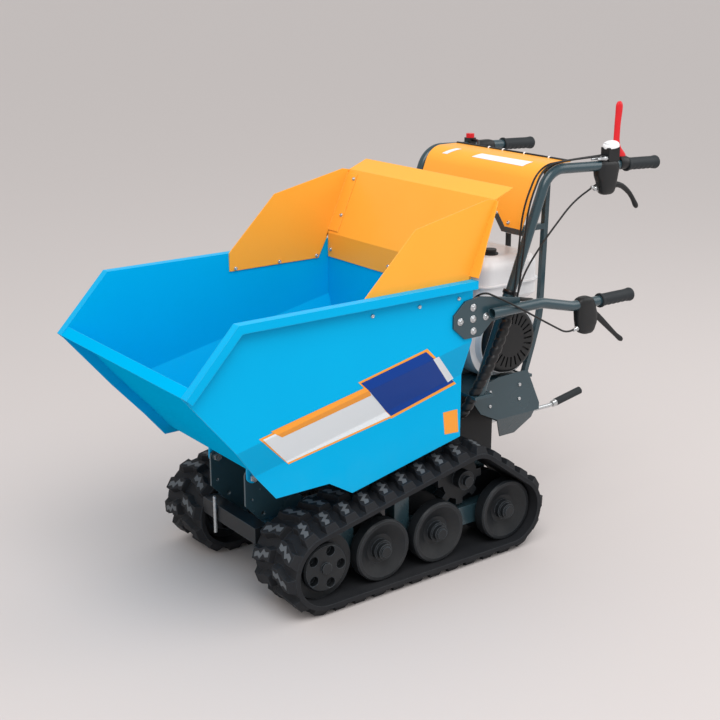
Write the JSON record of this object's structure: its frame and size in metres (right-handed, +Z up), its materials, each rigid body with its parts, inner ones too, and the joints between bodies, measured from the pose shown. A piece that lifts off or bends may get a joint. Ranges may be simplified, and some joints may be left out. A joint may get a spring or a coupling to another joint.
{
  "type": "tracked site dumper",
  "caption": "Walk-behind site dumper on rubber tracks with a front-tipping steel skip, raised guards, rear handlebars and a small recoil-start engine.",
  "frame": {"origin": "on the ground, under the middle of the machine box", "axes": "+Y to the rear where the operator walks, -Y to the tipping end, +X to the machine left, +Z up"},
  "size_m": [0.6735, 1.5276, 1.163],
  "materials": {
    "blue_paint": "gloss powder coat",
    "orange_paint": "gloss powder coat",
    "frame_paint": "satin powder coat",
    "track_rubber": "matt moulded rubber",
    "wheel_black": "satin black paint",
    "cable_black": "cable casing",
    "black_plastic": "moulded plastic",
    "grip_rubber": "soft ribbed rubber",
    "tank_white": "gloss paint",
    "engine_alloy": "cast alloy",
    "zinc_steel": "bright zinc plate",
    "red_plastic": "moulded red plastic"
  },
  "bodies": {
    "chassis": {"console_cover": "orange_paint", "track_beams": "frame_paint", "frame_rails": "frame_paint", "cross_members": "frame_paint", "pivot_plates": "frame_paint", "cheek_plates": "frame_paint", "engine_deck": "frame_paint", "rear_guard_sides": "frame_paint", "rear_guard_back": "frame_paint", "handle_posts": "frame_paint", "handlebar_left": "frame_paint", "handlebar_right": "frame_paint", "uprights": "frame_paint", "console_crossbars": "frame_paint", "belt_cover": "frame_paint", "track_left": "track_rubber", "track_right": "track_rubber", "track_wheels_left": "wheel_black", "track_wheels_right": "wheel_black", "sprockets": "wheel_black", "control_cables": "cable_black", "cable_loom": "cable_black", "skip_rests": "black_plastic", "throttle_body": "black_plastic", "switch_box": "black_plastic", "recoil_cover": "black_plastic", "fuel_cap": "black_plastic", "air_filter": "black_plastic", "lever_perches": "black_plastic", "hand_levers": "black_plastic", "handlebar_grips": "grip_rubber", "gear_grip": "grip_rubber", "fuel_tank": "tank_white", "fan_shroud": "tank_white", "engine_block": "engine_alloy", "gearbox": "engine_alloy", "pivot_bolts": "zinc_steel", "tension_rods": "zinc_steel", "gear_lever": "zinc_steel", "muffler": "zinc_steel", "throttle_lever": "red_plastic", "stop_button": "red_plastic"},
    "skip": {"skip_side_left": "blue_paint", "skip_side_right": "blue_paint", "skip_front": "blue_paint", "skip_floor": "blue_paint", "skip_rear": "blue_paint", "guard_left": "orange_paint", "guard_right": "orange_paint", "guard_back": "orange_paint", "skip_lugs": "blue_paint", "tip_handle": "frame_paint", "tip_grip": "grip_rubber", "tip_perch": "black_plastic", "tip_lever": "black_plastic", "tip_cable": "cable_black", "skip_latch": "frame_paint"}
  },
  "joints": [
    {"name": "skip_tip", "type": "hinge", "parent": "chassis", "child": "skip", "pos_m": [-0.00875, -0.4618, 0.307], "axis": [1, 0, 0], "range_deg": [0, 80]}
  ]
}
